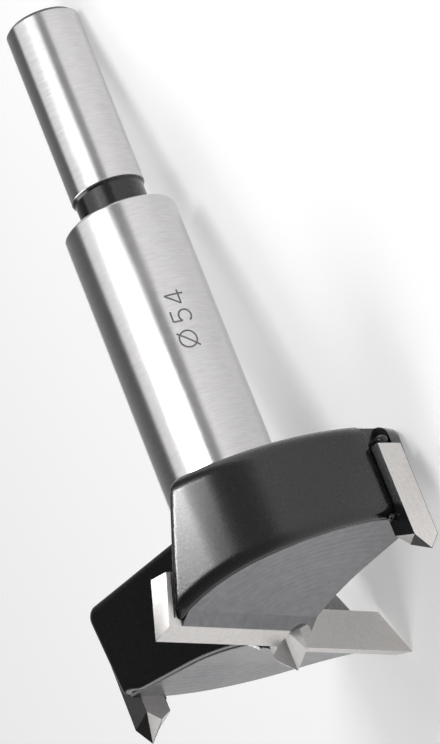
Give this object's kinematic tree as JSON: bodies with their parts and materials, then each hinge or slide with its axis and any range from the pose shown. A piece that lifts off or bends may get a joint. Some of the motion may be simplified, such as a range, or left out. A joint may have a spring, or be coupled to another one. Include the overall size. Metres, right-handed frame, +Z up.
{
  "type": "forstner bit",
  "caption": "Straight-shank forstner bit with a lobed head, carbide cutting plates, outer spurs and a pyramid centre point.",
  "frame": {"origin": "centre of the underside of the box round the tool as it lies on a bench", "axes": "+Z up as the tool lies on the rim of its head and its shank's end, +X along the tool towards its centre point"},
  "size_m": [0.0944, 0.0514, 0.0411],
  "materials": {
    "body_steel": "ground steel shank and body, gloss black painted head and neck",
    "carbide": "fine ground sintered carbide"
  },
  "bodies": {
    "root": {"body": "body_steel", "cutting_plate_a": "carbide", "cutting_plate_b": "carbide", "spur_a": "carbide", "spur_b": "carbide", "center_point": "carbide"}
  },
  "joints": []
}
